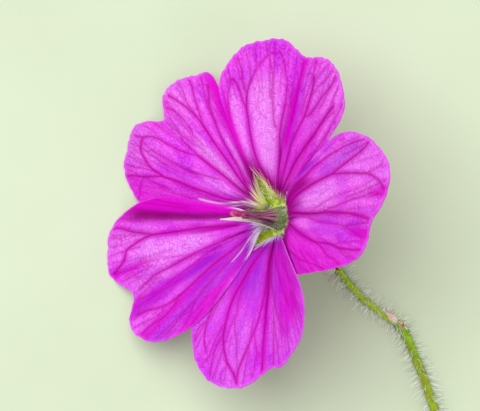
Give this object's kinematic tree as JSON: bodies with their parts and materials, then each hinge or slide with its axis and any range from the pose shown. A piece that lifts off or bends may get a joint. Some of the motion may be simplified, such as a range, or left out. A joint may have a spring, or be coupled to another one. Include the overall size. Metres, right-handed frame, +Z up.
{
  "type": "bloody cranesbill flower",
  "caption": "Single cut flower with a shallow bowl of notched, veined petals over pointed sepals, on a hairy jointed stalk, lying on a surface.",
  "frame": {"origin": "centre of the bounding box on the surface that the flower lies on", "axes": "+Z up from the surface, +Y from the cut end of the stalk towards the flower, +X to the right as the flower is looked down on"},
  "size_m": [0.0387, 0.0608, 0.0256],
  "materials": {
    "petal": "soft magenta petal with a faint velvet sheen and darker veins",
    "sepal": "matt leaf green with fine hairs",
    "stamens": "lilac-pink filaments, pale at the edges",
    "pistil": "grey-green hairy ovary with dull red stigmas",
    "pedicel": "yellow-green stalk with white hairs",
    "peduncle": "olive green stalk tinged with red, with white hairs",
    "bracteole": "papery pink to dull red scale"
  },
  "bodies": {
    "root": {"petal_right": "petal", "petal_top": "petal", "petal_left_upper": "petal", "petal_left_lower": "petal", "petal_bottom": "petal", "sepal_1": "sepal", "sepal_2": "sepal", "sepal_3": "sepal", "sepal_4": "sepal", "sepal_5": "sepal", "stamens": "stamens", "pistil": "pistil", "pedicel": "pedicel", "peduncle": "peduncle", "bracteole_long": "bracteole", "bracteole_short": "bracteole"}
  },
  "joints": []
}
